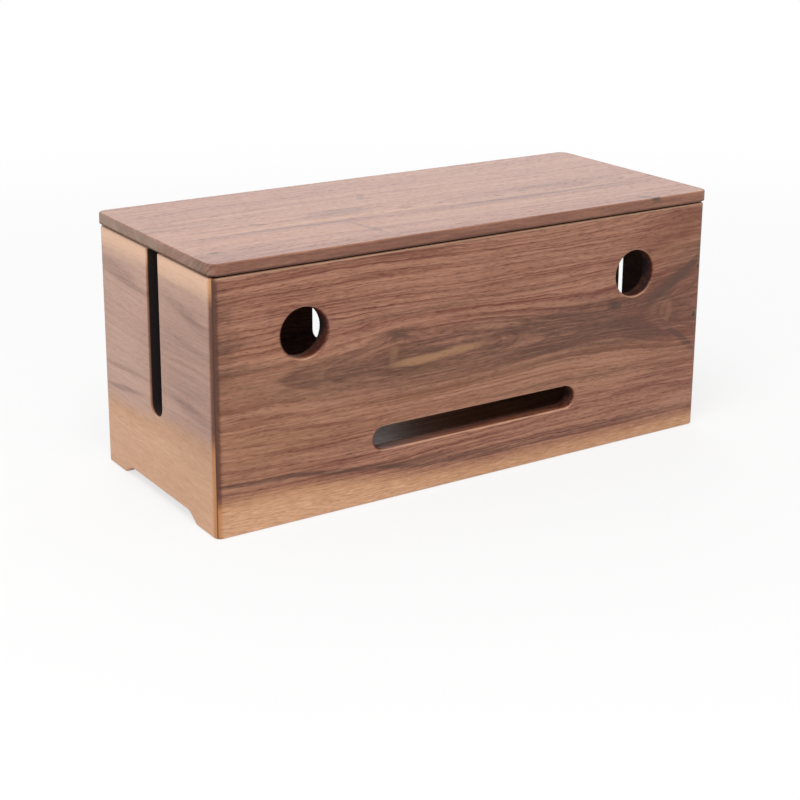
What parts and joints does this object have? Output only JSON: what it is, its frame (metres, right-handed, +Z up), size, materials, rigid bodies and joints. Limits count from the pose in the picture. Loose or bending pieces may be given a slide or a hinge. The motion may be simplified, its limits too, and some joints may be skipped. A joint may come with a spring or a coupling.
{
  "type": "cable management box",
  "caption": "Walnut box with mitred corners and a lift-off lid that hides a power strip; cables pass holes in the front, slots in the ends and a notch in the back.",
  "frame": {"origin": "on the ground under the middle of the box", "axes": "+X along the length to the right as seen from the front, +Y from the front to the back, +Z up"},
  "size_m": [0.31, 0.13, 0.138],
  "materials": {
    "walnut_walls": "oiled black walnut with pale sapwood, satin",
    "walnut_lid": "oiled black walnut, satin",
    "walnut_inside": "planed black walnut, matt",
    "beech_keys": "sawn hardwood, glued in",
    "clear_silicone": "clear silicone, satin"
  },
  "bodies": {
    "box": {"front_panel": "walnut_walls", "back_panel": "walnut_walls", "left_panel": "walnut_walls", "right_panel": "walnut_walls", "floor_panel": "walnut_inside", "corner_key_front_left": "beech_keys", "corner_key_back_left": "beech_keys", "corner_key_front_right": "beech_keys", "corner_key_back_right": "beech_keys"},
    "lid": {"lid_board": "walnut_lid", "lid_batten_front": "walnut_inside", "lid_batten_back": "walnut_inside", "lid_pad_front_left": "clear_silicone", "lid_pad_back_left": "clear_silicone", "lid_pad_front_right": "clear_silicone", "lid_pad_back_right": "clear_silicone"}
  },
  "joints": [
    {"name": "lid_lift", "type": "slide", "parent": "box", "child": "lid", "axis": [0, 0, 1], "range_m": [0, 0.12]}
  ]
}
